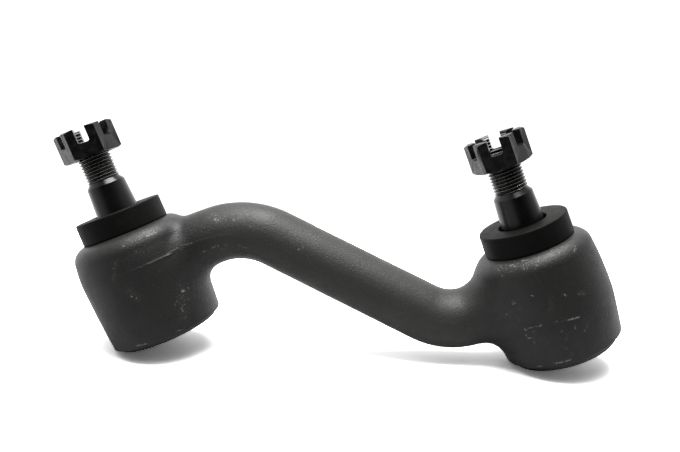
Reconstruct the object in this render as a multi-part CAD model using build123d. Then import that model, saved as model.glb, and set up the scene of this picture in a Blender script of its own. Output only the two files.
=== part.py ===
"""Forged two-stud idler arm with ball studs, slotted nuts and flat dust seals.

Row frame, in millimetres: +Z runs along both studs, which are parallel, +X runs
from the high pivot stud to the low link stud, and the origin lies on the pivot
stud's axis in the plane of its dust seal's upper face, where the mating boss
comes to rest on the taper.

Each ball joint is built in a boss frame of its own, whose origin is the centre
of the boss's flat top, and is then moved to its end of the arm.
"""

from build123d import *

import os
from dataclasses import dataclass
from math import cos, radians, sin, sqrt

# Clearances between pieces that meet
RUNNING_GAP = 0.05
BALL_GAP = 0.04
THREAD_GAP = 0.06
SEAL_LIP_GAP = 0.36

# The whole arm
SPACING = 162.5
DROP = 64.1
ARM_DIAMETER = 24.7
PIVOT_BEND_RADIUS = 34.0
LINK_BEND_RADIUS = 26.0
ARM_BLEND = 2.5
PIVOT_BEND_REACH = 51.7
LINK_BEND_REACH = 44.4

# The ball and what it runs in
BALL_RADIUS = 13.96
BALL_DEPTH = 20.5
BALL_FLAT_DEPTH = 13.0
JOURNAL_RADIUS = 7.5
SEAT_RADIUS = BALL_RADIUS + BALL_GAP
RACE_WALL = 4.3
RACE_SKIRT = 0.4
SWIVEL_HEIGHT = 10.0
CUP_CLEARANCE = 0.9
GREASE_WAY_RADIUS = 4.0

# The room inside a boss
MOUTH_RADIUS = 13.7
THROAT_RADIUS = 11.8
ROOF = 6.0
BORE_RADIUS = SEAT_RADIUS + RACE_WALL

# The preload spring and the cover plate
SPRING_HEIGHT = 3.9
SPRING_THICKNESS = 1.6
SPRING_INNER_RADIUS = 9.0
SPRING_SIDE_CLEARANCE = 0.8
COVER_THICKNESS = 3.6
COVER_LEDGE = 2.7
COVER_SEAT_RADIUS = BORE_RADIUS + COVER_LEDGE
GREASE_THREAD_RADIUS = 2.75
GREASE_THREAD_CHAMFER = 0.6

# The boss at each end
RIM_DEPTH = 47.0
BOSS_WALL = 3.75
BOSS_RIM_RADIUS = COVER_SEAT_RADIUS + BOSS_WALL
BOSS_SHOULDER = 6.5
LIP_HEIGHT = 1.6
LIP_STEP = 0.7
LIP_ROOT = 0.25
LIP_OVERHANG = 1.8
LIP_WALL = 1.6
LIP_TAPER = 0.4
LIP_DEPTH = RIM_DEPTH + LIP_HEIGHT
LIP_OUTER_RADIUS = COVER_SEAT_RADIUS + LIP_WALL
LIP_INNER_RADIUS = COVER_SEAT_RADIUS - LIP_OVERHANG
COVER_SHOULDER_DEPTH = RIM_DEPTH - LIP_ROOT - COVER_THICKNESS - 2 * RUNNING_GAP
CUP_BOTTOM_DEPTH = COVER_SHOULDER_DEPTH - SPRING_HEIGHT - RUNNING_GAP

# The stud above its journal
TAPER_SMALL_RADIUS = 8.25
TAPER_SMALL_HEIGHT = 21.9
TAPER_LARGE_HEIGHT = 3.6
TAPER_PER_MM = 1.0 / 16.0
TAPER_LARGE_RADIUS = TAPER_SMALL_RADIUS + (TAPER_SMALL_HEIGHT - TAPER_LARGE_HEIGHT) * TAPER_PER_MM
JOURNAL_TOP_HEIGHT = 0.9
THREAD_RADIUS = 7.14
THREAD_RELIEF = 0.25
THREAD_CHAMFER = 1.1
NECK_SLOPE = 1.5
NECK_LENGTH = 3.3
THREAD_START_HEIGHT = TAPER_SMALL_HEIGHT + NECK_LENGTH
THREAD_LENGTH = 14.1
STUD_TOP_HEIGHT = THREAD_START_HEIGHT + THREAD_LENGTH
CROSS_HOLE_RADIUS = 1.8
CROSS_HOLE_FROM_TOP = 3.6

# The slotted nut, 9/16-18, 22.2 mm across flats, partly on its thread
NUT_ACROSS_FLATS = 22.22
NUT_HEIGHT = 12.7
NUT_ENGAGEMENT = 4.4
NUT_BORE_RADIUS = THREAD_RADIUS + THREAD_GAP
NUT_BORE_CHAMFER = 0.9
NUT_CORNER_CHAMFER = 1.3
NUT_SLOT_WIDTH = 5.0
NUT_SLOT_DEPTH = 5.7
NUT_BOTTOM_HEIGHT = STUD_TOP_HEIGHT - NUT_ENGAGEMENT

# The dust seal
SEAL_RADIUS = 18.95
SEAL_HEIGHT = 9.6
SEAL_DRAFT = 0.15
SEAL_EDGE = 0.5
SEAL_FLOOR = 2.0
SEAL_ROOM_TOP = 4.6
SEAL_ROOM_RADIUS = MOUTH_RADIUS + 0.4
SEAL_LIP_RADIUS = TAPER_LARGE_RADIUS + SEAL_LIP_GAP
SEAL_BORE_RADIUS = SEAL_LIP_RADIUS + 0.75


@dataclass(frozen=True)
class End:
    """What differs between the arm's two ends."""

    name: str
    place: Pos
    arm_depth: float
    top_swell: float
    belly_swell: float
    belly_depth: float
    skirt_swell: float
    skirt_depth: float
    nut_angle: float


PIVOT = End(
    name="pivot",
    place=Pos(0, 0, -SEAL_HEIGHT),
    arm_depth=15.5,
    top_swell=-0.85,
    belly_swell=1.75,
    belly_depth=15.0,
    skirt_swell=1.35,
    skirt_depth=31.0,
    nut_angle=17.0,
)
LINK = End(
    name="link",
    place=Pos(SPACING, 0, -SEAL_HEIGHT - DROP),
    arm_depth=22.3,
    top_swell=-0.95,
    belly_swell=1.35,
    belly_depth=15.0,
    skirt_swell=1.85,
    skirt_depth=29.0,
    nut_angle=-8.5,
)
ENDS = (PIVOT, LINK)


def turned(points):
    """Revolves a closed outline of (radius, height) points about Z."""
    with BuildSketch(Plane.XZ) as outline:
        with BuildLine():
            Polyline(*points, close=True)
        make_face()
    return revolve(outline.sketch, axis=Axis.Z)


def ball_radius_at(radius, height_from_centre):
    """Radius of a sphere's section at a height from its centre."""
    return sqrt(radius**2 - height_from_centre**2)


def boss_blank(end):
    """The boss outside: a barrel that is widest at the part line, then the lip."""
    top_radius = BOSS_RIM_RADIUS + end.top_swell
    with BuildSketch(Plane.XZ) as outline:
        with BuildLine():
            Spline(
                (top_radius, 0),
                (BOSS_RIM_RADIUS + end.belly_swell, -end.belly_depth),
                (BOSS_RIM_RADIUS + end.skirt_swell, -end.skirt_depth),
                (BOSS_RIM_RADIUS, -RIM_DEPTH),
            )
            Polyline(
                (BOSS_RIM_RADIUS, -RIM_DEPTH),
                (LIP_OUTER_RADIUS, -RIM_DEPTH - LIP_STEP),
                (LIP_OUTER_RADIUS - LIP_TAPER, -LIP_DEPTH),
                (0, -LIP_DEPTH),
                (0, 0),
                (top_radius, 0),
            )
        make_face()
    return revolve(outline.sketch, axis=Axis.Z)


def boss_room():
    """The space inside a boss: flared mouth, bore, cover seat and crimped lip."""
    return turned(
        [
            (0, 1),
            (MOUTH_RADIUS, 1),
            (MOUTH_RADIUS, 0),
            (THROAT_RADIUS, -ROOF),
            (BORE_RADIUS, -ROOF),
            (BORE_RADIUS, -COVER_SHOULDER_DEPTH),
            (COVER_SEAT_RADIUS, -COVER_SHOULDER_DEPTH),
            (COVER_SEAT_RADIUS, -RIM_DEPTH + LIP_ROOT),
            (LIP_INNER_RADIUS, -RIM_DEPTH + LIP_ROOT),
            (LIP_INNER_RADIUS + LIP_TAPER, -LIP_DEPTH),
            (LIP_INNER_RADIUS + LIP_TAPER, -LIP_DEPTH - 1),
            (0, -LIP_DEPTH - 1),
        ]
    )


def arm_bar():
    """The round bar between the bosses, square to each stud and bent twice."""
    pivot_z = -SEAL_HEIGHT - PIVOT.arm_depth
    link_z = -SEAL_HEIGHT - DROP - LINK.arm_depth
    path = FilletPolyline(
        (0, 0, pivot_z),
        (PIVOT_BEND_REACH, 0, pivot_z),
        (SPACING - LINK_BEND_REACH, 0, link_z),
        (SPACING, 0, link_z),
        radius=(PIVOT_BEND_RADIUS, LINK_BEND_RADIUS),
    )
    root = Plane(origin=(0, 0, pivot_z), x_dir=(0, 1, 0), z_dir=(1, 0, 0))
    return sweep(root * Circle(ARM_DIAMETER / 2), path=path)


def arm_forging():
    """Both hollow bosses and the bar as one forging, blended where they meet.

    The bar is cut back to the boss wall first, so that it leaves the room clear.
    """
    forging = arm_bar()
    for end in ENDS:
        forging -= end.place * Cylinder(COVER_SEAT_RADIUS + 1, 2 * (LIP_DEPTH + DROP))
        forging += end.place * (boss_blank(end) - boss_room())
        forging = fillet([edge for edge in forging.edges() if is_seam(edge, end)], ARM_BLEND)
        forging = fillet([edge for edge in forging.edges() if is_shoulder(edge, end)], BOSS_SHOULDER)
    return forging


def is_shoulder(edge, end):
    """Whether an edge is the outer rim of this end's flat boss top."""
    at_top = abs((edge @ 0.5).Z - end.place.position.Z) < 0.01
    return edge.geom_type == GeomType.CIRCLE and at_top and edge.radius > BORE_RADIUS


def is_seam(edge, end):
    """Whether an edge is where the bar runs into this end's boss."""
    if edge.geom_type in (GeomType.CIRCLE, GeomType.LINE):
        return False
    return abs((edge @ 0.5).X - end.place.position.X) < BOSS_RIM_RADIUS + end.belly_swell + ARM_BLEND


def ball_stud(end):
    """Ball stud: half-ball head, journal, 1:8 taper, thread blank, cross hole."""
    head_top = -BALL_DEPTH - RUNNING_GAP
    head_flat = -BALL_DEPTH - BALL_FLAT_DEPTH
    flat_radius = ball_radius_at(BALL_RADIUS, BALL_FLAT_DEPTH)
    halfway = BALL_FLAT_DEPTH / 2
    with BuildSketch(Plane.XZ) as outline:
        with BuildLine():
            Polyline(
                (0, head_flat),
                (0, STUD_TOP_HEIGHT),
                (THREAD_RADIUS - THREAD_CHAMFER, STUD_TOP_HEIGHT),
                (THREAD_RADIUS, STUD_TOP_HEIGHT - THREAD_CHAMFER),
                (THREAD_RADIUS, THREAD_START_HEIGHT + THREAD_RELIEF),
                (THREAD_RADIUS - THREAD_RELIEF, THREAD_START_HEIGHT),
                (THREAD_RADIUS - THREAD_RELIEF, TAPER_SMALL_HEIGHT + NECK_SLOPE),
                (TAPER_SMALL_RADIUS, TAPER_SMALL_HEIGHT),
                (TAPER_LARGE_RADIUS, TAPER_LARGE_HEIGHT),
                (JOURNAL_RADIUS, JOURNAL_TOP_HEIGHT),
                (JOURNAL_RADIUS, head_top),
                (ball_radius_at(BALL_RADIUS, RUNNING_GAP), head_top),
            )
            ThreePointArc(
                (ball_radius_at(BALL_RADIUS, RUNNING_GAP), head_top),
                (ball_radius_at(BALL_RADIUS, halfway), -BALL_DEPTH - halfway),
                (flat_radius, head_flat),
            )
            Line((flat_radius, head_flat), (0, head_flat))
        make_face()
    stud = revolve(outline.sketch, axis=Axis.Z)
    hole = Pos(0, 0, STUD_TOP_HEIGHT - CROSS_HOLE_FROM_TOP) * Rot(0, 0, end.nut_angle + 30) * Rot(0, 90, 0)
    return stud - hole * Cylinder(CROSS_HOLE_RADIUS, 3 * THREAD_RADIUS)


def slotted_nut(end):
    """Hexagon nut with a slot through every flat and chamfered corners."""
    corner = NUT_ACROSS_FLATS / 2 / cos(radians(30))
    blank = extrude(RegularPolygon(corner, 6), amount=NUT_HEIGHT)
    rim = corner - NUT_CORNER_CHAMFER
    rise = NUT_CORNER_CHAMFER * sin(radians(30))
    envelope = turned(
        [
            (0, 0),
            (rim, 0),
            (corner, rise),
            (corner, NUT_HEIGHT - rise),
            (rim, NUT_HEIGHT),
            (0, NUT_HEIGHT),
        ]
    )
    nut = blank & envelope
    bore = turned(
        [
            (0, 0),
            (NUT_BORE_RADIUS + NUT_BORE_CHAMFER, 0),
            (NUT_BORE_RADIUS, NUT_BORE_CHAMFER),
            (NUT_BORE_RADIUS, NUT_HEIGHT - NUT_BORE_CHAMFER),
            (NUT_BORE_RADIUS + NUT_BORE_CHAMFER, NUT_HEIGHT),
            (0, NUT_HEIGHT),
        ]
    )
    nut -= bore
    slot_floor = NUT_HEIGHT - NUT_SLOT_DEPTH
    for angle in (30, 90, 150):
        slot = Box(
            4 * corner,
            NUT_SLOT_WIDTH,
            NUT_SLOT_DEPTH + 1,
            align=(Align.CENTER, Align.CENTER, Align.MIN),
        )
        nut -= Rot(0, 0, angle) * Pos(0, 0, slot_floor) * slot
    return Pos(0, 0, NUT_BOTTOM_HEIGHT) * Rot(0, 0, end.nut_angle) * nut


def dust_seal(end):
    """Flat rubber seal: plain block outside, a lip that closes on the stud inside."""
    seal = turned(
        [
            (SEAL_LIP_RADIUS, RUNNING_GAP),
            (SEAL_RADIUS, RUNNING_GAP),
            (SEAL_RADIUS - SEAL_DRAFT, SEAL_HEIGHT),
            (SEAL_BORE_RADIUS, SEAL_HEIGHT),
            (SEAL_BORE_RADIUS, SEAL_ROOM_TOP + 0.5),
            (SEAL_ROOM_RADIUS, SEAL_ROOM_TOP - 0.5),
            (SEAL_ROOM_RADIUS, SEAL_FLOOR + 0.5),
            (SEAL_LIP_RADIUS, SEAL_FLOOR),
        ]
    )
    rims = seal.edges().filter_by(GeomType.CIRCLE)
    outer = [edge for edge in rims if edge.radius > SEAL_RADIUS - 2 * SEAL_DRAFT]
    return fillet(outer, SEAL_EDGE)


def upper_race(end):
    """Ring in the boss's roof whose inside is the upper half of the ball seat."""
    top = -ROOF - RUNNING_GAP
    ring = turned(
        [
            (THROAT_RADIUS, top),
            (BORE_RADIUS - RUNNING_GAP, top),
            (BORE_RADIUS - RUNNING_GAP, -BALL_DEPTH - RACE_SKIRT),
            (THROAT_RADIUS, -BALL_DEPTH - RACE_SKIRT),
        ]
    )
    return ring - Pos(0, 0, -BALL_DEPTH) * Sphere(SEAT_RADIUS)


def swivel_bearing(end):
    """Half-ball ring on the journal: the stud spins in it and it swings in the race."""
    with BuildSketch(Plane.XZ) as outline:
        with BuildLine():
            inner = JOURNAL_RADIUS + RUNNING_GAP
            top_radius = ball_radius_at(BALL_RADIUS, SWIVEL_HEIGHT)
            halfway = SWIVEL_HEIGHT / 2
            Polyline(
                (BALL_RADIUS, -BALL_DEPTH),
                (inner, -BALL_DEPTH),
                (inner, -BALL_DEPTH + SWIVEL_HEIGHT),
                (top_radius, -BALL_DEPTH + SWIVEL_HEIGHT),
            )
            ThreePointArc(
                (top_radius, -BALL_DEPTH + SWIVEL_HEIGHT),
                (ball_radius_at(BALL_RADIUS, halfway), -BALL_DEPTH + halfway),
                (BALL_RADIUS, -BALL_DEPTH),
            )
        make_face()
    return revolve(outline.sketch, axis=Axis.Z)


def lower_cup(end):
    """Cup under the ball head, pushed up by the spring, with a grease way."""
    height = CUP_BOTTOM_DEPTH - BALL_DEPTH - CUP_CLEARANCE
    cup = Pos(0, 0, -CUP_BOTTOM_DEPTH) * Cylinder(
        BORE_RADIUS - RUNNING_GAP,
        height,
        align=(Align.CENTER, Align.CENTER, Align.MIN),
    )
    cup -= Pos(0, 0, -BALL_DEPTH) * Sphere(SEAT_RADIUS)
    return cup - Pos(0, 0, -CUP_BOTTOM_DEPTH) * Cylinder(GREASE_WAY_RADIUS, 2 * height)


def preload_spring(end):
    """Coned disc spring between the cup and the cover plate."""
    top = -CUP_BOTTOM_DEPTH - RUNNING_GAP
    bottom = top - SPRING_HEIGHT
    outer = BORE_RADIUS - SPRING_SIDE_CLEARANCE
    return turned(
        [
            (SPRING_INNER_RADIUS, top),
            (SPRING_INNER_RADIUS, top - SPRING_THICKNESS),
            (outer, bottom),
            (outer, bottom + SPRING_THICKNESS),
        ]
    )


def cover_plate(end):
    """Disc held by the crimped lip, with a plain hole for a 1/4-28 thread."""
    top = -COVER_SHOULDER_DEPTH - RUNNING_GAP
    bottom = top - COVER_THICKNESS
    return turned(
        [
            (GREASE_THREAD_RADIUS, top),
            (COVER_SEAT_RADIUS - RUNNING_GAP, top),
            (COVER_SEAT_RADIUS - RUNNING_GAP, bottom),
            (GREASE_THREAD_RADIUS + GREASE_THREAD_CHAMFER, bottom),
            (GREASE_THREAD_RADIUS, bottom + GREASE_THREAD_CHAMFER),
        ]
    )


END_PIECES = {
    "stud": ball_stud,
    "nut": slotted_nut,
    "seal": dust_seal,
    "race": upper_race,
    "swivel": swivel_bearing,
    "cup": lower_cup,
    "spring": preload_spring,
    "cover": cover_plate,
}


def main():
    """Builds every piece and writes one STEP file for each."""
    os.makedirs("parts", exist_ok=True)
    pieces = {"arm_forging": arm_forging()}
    for end in ENDS:
        for kind, build in END_PIECES.items():
            pieces[f"{end.name}_{kind}"] = end.place * build(end)
    for name, piece in pieces.items():
        solids = piece.solids()
        if len(solids) != 1 or not solids[0].is_valid:
            raise ValueError(f"{name} isn't one valid solid")
        export_step(solids[0], f"parts/{name}.step")


if __name__ == "__main__":
    main()
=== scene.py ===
"""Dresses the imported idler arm: blended forging, threaded studs, slotted nuts, dust seals.

Every piece is shaped in the row frame's axes.
"""

import logging
import math
from collections.abc import Iterable, Sequence
from dataclasses import dataclass
from enum import Enum

import bmesh
import bpy
import numpy as np
from mathutils import Matrix, Vector

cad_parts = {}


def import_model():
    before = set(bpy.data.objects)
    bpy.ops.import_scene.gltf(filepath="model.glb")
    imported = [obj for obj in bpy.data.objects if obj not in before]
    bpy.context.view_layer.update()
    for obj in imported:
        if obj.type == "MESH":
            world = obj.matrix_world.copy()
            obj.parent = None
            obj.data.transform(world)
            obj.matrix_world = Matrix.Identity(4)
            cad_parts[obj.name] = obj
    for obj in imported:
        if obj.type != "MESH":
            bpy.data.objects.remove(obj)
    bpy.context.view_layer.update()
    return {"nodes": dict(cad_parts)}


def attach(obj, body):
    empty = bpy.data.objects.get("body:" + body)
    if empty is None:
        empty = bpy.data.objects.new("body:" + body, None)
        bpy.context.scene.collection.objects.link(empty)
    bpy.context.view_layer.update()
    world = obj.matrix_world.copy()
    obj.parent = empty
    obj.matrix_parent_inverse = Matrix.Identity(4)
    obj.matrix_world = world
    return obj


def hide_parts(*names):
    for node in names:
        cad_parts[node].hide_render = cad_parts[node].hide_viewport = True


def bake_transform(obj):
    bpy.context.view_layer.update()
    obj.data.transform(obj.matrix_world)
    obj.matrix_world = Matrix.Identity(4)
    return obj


LOG = logging.getLogger("idler_arm")
MM = 0.001
# Steps round a turned piece, steps round one that shows its outline, and a hair's breadth in mm.
STEPS = 96
FINE_STEPS = 128
HAIR = 1e-4
Pair = tuple[float, float]
Outline = Sequence[Pair]
Point = tuple[float, float, float]
Colour = tuple[float, float, float, float]
Thing = bpy.types.Object
Material = bpy.types.Material
Socket = bpy.types.NodeSocket
Rows = np.ndarray


def discard(thing: Thing) -> None:
    """Removes an object and its mesh.

    Args:
        thing: The object, which nothing else uses.
    """
    data = thing.data
    bpy.data.objects.remove(thing)
    bpy.data.meshes.remove(data)


def arc(middle: Pair, radius: float, start: float, stop: float, steps: int) -> Outline:
    """Lists (radius, height) points on an arc, its start left out. Angles are in radians."""
    angles = (start + (stop - start) * i / steps for i in range(1, steps + 1))
    return [(middle[0] + radius * math.cos(a), middle[1] + radius * math.sin(a)) for a in angles]


def read_off(table: Outline, x: Rows) -> Rows:
    """Reads a table of (x, value) rows at some x, along straight lines between its rows."""
    return np.interp(x, *zip(*table))


class Cut(Enum):
    """How one solid meets another."""

    UNION = "UNION"
    DIFFERENCE = "DIFFERENCE"
    INTERSECT = "INTERSECT"


class Stock:
    """A piece in the making: one bmesh, shaped in millimetres."""

    def __init__(self) -> None:
        """Starts with nothing."""
        self.mesh = bmesh.new()

    @classmethod
    def strip(cls, points: Outline) -> "Stock":
        """Draws an open line of (radius, height) points in the XZ plane.

        Args:
            points: The line's points, in order.

        Returns:
            The line as a piece without faces.
        """
        stock = cls()
        verts = [stock.mesh.verts.new((radius, 0, height)) for radius, height in points]
        for pair in zip(verts, verts[1:]):
            stock.mesh.edges.new(pair)
        return stock

    @classmethod
    def turned(cls, points: Outline, steps: int = STEPS) -> "Stock":
        """Spins a line of (radius, height) points, closed or with both ends on Z, into a solid.

        Args:
            points: The line's points, in order.
            steps: How many facets go round.

        Returns:
            The solid.
        """
        stock = cls.strip(points)
        stock._spin(steps, 0.0, True)
        stock.tidy()
        return stock

    @classmethod
    def screw(cls, turn: Outline, pitch: float, low: float, high: float) -> "Stock":
        """Winds the (radius, rise) outline of one thread turn up Z, cut flat at both heights.

        Args:
            turn: Points of one turn, whose rises are below one pitch.
            pitch: Rise of one turn.
            low: Height of the lower end.
            high: Height of the upper end.

        Returns:
            A solid core with the thread on it.
        """
        start = low - 1.5 * pitch
        count = math.ceil((high - low) / pitch) + 3
        points = [(radius, start + i * pitch + rise) for i in range(count) for radius, rise in turn]
        stock = cls.strip(points)
        stock._spin(STEPS, pitch / STEPS, False)
        stock.tidy()
        stock.slice((0, 0, low), (0, 0, -1))
        stock.slice((0, 0, high), (0, 0, 1))
        return stock

    def _spin(self, steps: int, rise: float, merge: bool) -> None:
        """Spins all that is there once round Z, with a rise at each step.

        Args:
            steps: How many facets go round.
            rise: Rise at each step.
            merge: Whether the ends meet.
        """
        line = self.mesh.verts[:] + self.mesh.edges[:]
        way = {"cent": (0, 0, 0), "axis": (0, 0, 1), "dvec": (0, 0, rise), "angle": 2 * math.pi}
        bmesh.ops.spin(self.mesh, geom=line, **way, steps=steps, use_merge=merge)

    def tidy(self, gap: float = 1e-3) -> None:
        """Merges doubles and points the faces outwards."""
        bmesh.ops.remove_doubles(self.mesh, verts=self.mesh.verts[:], dist=gap)
        bmesh.ops.recalc_face_normals(self.mesh, faces=self.mesh.faces[:])

    def slice(self, place: Point, direction: Point) -> None:
        """Takes off what lies beyond a plane and closes the cut.

        Args:
            place: A point of the plane.
            direction: The side that is taken off.
        """
        self.trim(self.mesh.faces[:], place, direction)
        rims = [edge for edge in self.mesh.edges if edge.is_boundary]
        bmesh.ops.holes_fill(self.mesh, edges=rims, sides=0)
        bmesh.ops.recalc_face_normals(self.mesh, faces=self.mesh.faces[:])

    def trim(self, faces: Iterable[bmesh.types.BMFace], place: Point, direction: Point) -> None:
        """Takes off the part of some faces that lies beyond a plane.

        Args:
            faces: What may be cut.
            place: A point of the plane.
            direction: The side that is taken off.
        """
        faces = list(faces)
        edges = {edge for face in faces for edge in face.edges}
        verts = {vert for face in faces for vert in face.verts}
        geom = [*verts, *edges, *faces]
        plane = {"plane_co": place, "plane_no": direction}
        bmesh.ops.bisect_plane(self.mesh, geom=geom, dist=1e-5, **plane, clear_outer=True)

    def move(self, matrix: Matrix) -> "Stock":
        """Moves the whole piece and returns it."""
        bmesh.ops.transform(self.mesh, matrix=matrix, verts=self.mesh.verts[:])
        return self

    def add(self, other: "Stock") -> "Stock":
        """Takes another piece's skin into this one and returns it.

        Args:
            other: The other piece, which stays as it is.

        Returns:
            This piece.
        """
        data = bpy.data.meshes.new("work")
        other.mesh.to_mesh(data)
        self.mesh.from_mesh(data)
        bpy.data.meshes.remove(data)
        return self

    def _object(self, name: str) -> Thing:
        """Makes an object of the bmesh as it stands.

        Args:
            name: The object's name.

        Returns:
            The object, still in millimetres.
        """
        data = bpy.data.meshes.new(name)
        self.mesh.to_mesh(data)
        thing = bpy.data.objects.new(name, data)
        bpy.context.scene.collection.objects.link(thing)
        return thing

    def _reworked(self, kind: str, **settings: object) -> "Stock":
        """Returns the piece as one modifier, of some kind and with some settings, leaves it.

        Args:
            kind: The modifier's type.
            settings: Its properties, by name.

        Returns:
            The result as a new piece.
        """
        thing = self._object("work")
        modifier = thing.modifiers.new("work", kind)
        for name, value in settings.items():
            setattr(modifier, name, value)
        seen = thing.evaluated_get(bpy.context.evaluated_depsgraph_get())
        data = bpy.data.meshes.new_from_object(seen)
        result = Stock()
        result.mesh.from_mesh(data)
        bpy.data.meshes.remove(data)
        discard(thing)
        return result

    def combine(self, other: "Stock", how: Cut) -> "Stock":
        """Joins this closed solid to another, or cuts it with the other, as a new piece.

        Args:
            other: The second solid, which is closed as well.
            how: What to keep of the two.

        Returns:
            The result as a new piece.
        """
        tool = other._object("work_tool")
        result = self._reworked("BOOLEAN", operation=how.value, solver="MANIFOLD", object=tool)
        discard(tool)
        if not result.mesh.faces:
            raise ValueError("a cut left nothing of the piece")
        return result

    def skinned(self, voxel: float) -> "Stock":
        """Gives overlapping solids one even skin of small faces."""
        return self._reworked("REMESH", mode="VOXEL", voxel_size=voxel)

    def points(self) -> Rows:
        """Returns every vertex as a row of three numbers."""
        return np.array([vert.co for vert in self.mesh.verts], float).reshape(-1, 3)

    def place(self, points: Rows) -> None:
        """Moves every vertex to its row of three numbers."""
        for vert, point in zip(self.mesh.verts, points.tolist()):
            vert.co = point

    def sharp_edges(self, degrees: float) -> list[bmesh.types.BMEdge]:
        """Lists the edges whose faces meet at more than an angle."""
        limit = math.radians(degrees)
        return [e for e in self.mesh.edges if e.is_manifold and e.calc_face_angle(0.0) > limit]

    def bevel(self, edges: Iterable[bmesh.types.BMEdge], width: float, segments: int) -> None:
        """Rounds some edges.

        Args:
            edges: The edges to round.
            width: How far the rounding reaches.
            segments: Its facets.
        """
        kind = {"offset_type": "OFFSET", "affect": "EDGES", "profile": 0.5, "material": -1}
        edges = list(edges)
        bmesh.ops.bevel(
            self.mesh, geom=edges, offset=width, segments=segments, clamp_overlap=True, **kind
        )

    def finish(self, name: str, material: Material, crease: float = 32.0) -> Thing:
        """Turns the piece into an object in metres, with edges over an angle in degrees sharp.

        Args:
            name: The object's name.
            material: Its finish.
            crease: Angle above which an edge shows sharp.

        Returns:
            The object, at the origin.
        """
        for face in self.mesh.faces:
            face.smooth = True
        for edge in self.sharp_edges(crease):
            edge.smooth = False
        bmesh.ops.transform(self.mesh, matrix=Matrix.Scale(MM, 4), verts=self.mesh.verts[:])
        thing = self._object(name)
        thing.data.materials.append(material)
        self.mesh.free()
        return thing


class Number:
    """A number in a shader. Arithmetic on it adds Math nodes."""

    def __init__(self, sheet: "NodeSheet", socket: Socket) -> None:
        """Wraps the socket that gives the number."""
        self.sheet = sheet
        self.socket = socket

    def _maths(self, operation: str, *values: object) -> "Number":
        """Adds one Math node that reads some values."""
        node = self.sheet.add("ShaderNodeMath", {"operation": operation}, dict(enumerate(values)))
        return Number(self.sheet, node.outputs[0])

    def __add__(self, other: object) -> "Number":
        """Returns self + other."""
        return self._maths("ADD", self, other)

    __radd__ = __add__

    def __sub__(self, other: object) -> "Number":
        """Returns self - other."""
        return self._maths("SUBTRACT", self, other)

    def __rsub__(self, other: object) -> "Number":
        """Returns other - self."""
        return self._maths("SUBTRACT", other, self)

    def __mul__(self, other: object) -> "Number":
        """Returns self * other."""
        return self._maths("MULTIPLY", self, other)

    __rmul__ = __mul__

    def at_most(self, other: object) -> "Number":
        """Returns the smaller of two numbers."""
        return self._maths("MINIMUM", self, other)

    def at_least(self, other: object) -> "Number":
        """Returns the larger of two numbers."""
        return self._maths("MAXIMUM", self, other)

    def step(self, low: float, high: float) -> "Number":
        """Returns 0 below low and 1 above high, with a smooth rise between.

        Args:
            low: Where the rise begins.
            high: Where it ends.

        Returns:
            The share, from 0 to 1.
        """
        node = self.sheet.add(
            "ShaderNodeMapRange",
            {"interpolation_type": "SMOOTHSTEP"},
            {0: self, 1: low, 2: high, 3: 0.0, 4: 1.0},
        )
        return Number(self.sheet, node.outputs[0])


class NodeSheet:
    """Adds nodes to one node tree."""

    def __init__(self, tree: bpy.types.NodeTree) -> None:
        """Empties the tree."""
        self.tree = tree
        tree.nodes.clear()

    def add(self, kind: str, settings: dict[str, object], sockets: dict) -> bpy.types.Node:
        """Adds one node with its properties, and its inputs' values or links by name or number.

        Args:
            kind: The node's type.
            settings: Its properties, which are set first.
            sockets: Values or links of its inputs, by name or number.

        Returns:
            The node.
        """
        node = self.tree.nodes.new(kind)
        for name, value in settings.items():
            setattr(node, name, value)
        for key, value in sockets.items():
            if isinstance(value, Number):
                value = value.socket
            if isinstance(value, Socket):
                self.tree.links.new(value, node.inputs[key])
            else:
                node.inputs[key].default_value = value
        return node

    def number(self, kind: str, settings: dict[str, object], sockets: dict, output: int = 0) -> Number:
        """Adds one node and returns one of its outputs as a number."""
        return Number(self, self.add(kind, settings, sockets).outputs[output])

    def blend(self, share: Number | float, under: object, over: object) -> Socket:
        """Mixes two colours and returns the mixed one."""
        node = self.add("ShaderNodeMix", {"data_type": "RGBA"}, {0: share, 6: under, 7: over})
        return node.outputs[2]

    def vector(self, operation: str, *values: object) -> Socket:
        """Adds one Vector Math node and returns its vector."""
        sockets = dict(enumerate(values))
        return self.add("ShaderNodeVectorMath", {"operation": operation}, sockets).outputs[0]

    def scaled(self, vector: object, share: Number) -> Socket:
        """Returns a vector times a number."""
        return self.add("ShaderNodeVectorMath", {"operation": "SCALE"}, {0: vector, 3: share}).outputs[0]

    def dot(self, one: object, other: object) -> Number:
        """Returns the dot product of two vectors."""
        return self.number("ShaderNodeVectorMath", {"operation": "DOT_PRODUCT"}, {0: one, 1: other}, 1)

    def length(self, vector: object) -> Number:
        """Returns the length of a vector."""
        return self.number("ShaderNodeVectorMath", {"operation": "LENGTH"}, {0: vector}, 1)

    def place(self) -> Socket:
        """Returns the place on the piece in metres."""
        return self.add("ShaderNodeTexCoord", {}, {}).outputs["Object"]

    def seen(self) -> Number:
        """Returns 1 on rays from the camera, also through something clear, and else 0.

        Returns:
            The share, which is 0 or 1.
        """
        rays = self.add("ShaderNodeLightPath", {}, {})
        direct, clear = (Number(self, rays.outputs[f"Is {kind} Ray"]) for kind in ("Camera", "Transmission"))
        return direct.at_least(clear)

    def noise(self, place: object, scale: float, detail: float = 2.0, rough: float = 0.5) -> Number:
        """Adds a noise pattern, with its scale in spots a metre."""
        sockets = {"Vector": place, "Scale": scale, "Detail": detail, "Roughness": rough}
        return self.number("ShaderNodeTexNoise", {}, sockets)


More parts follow.
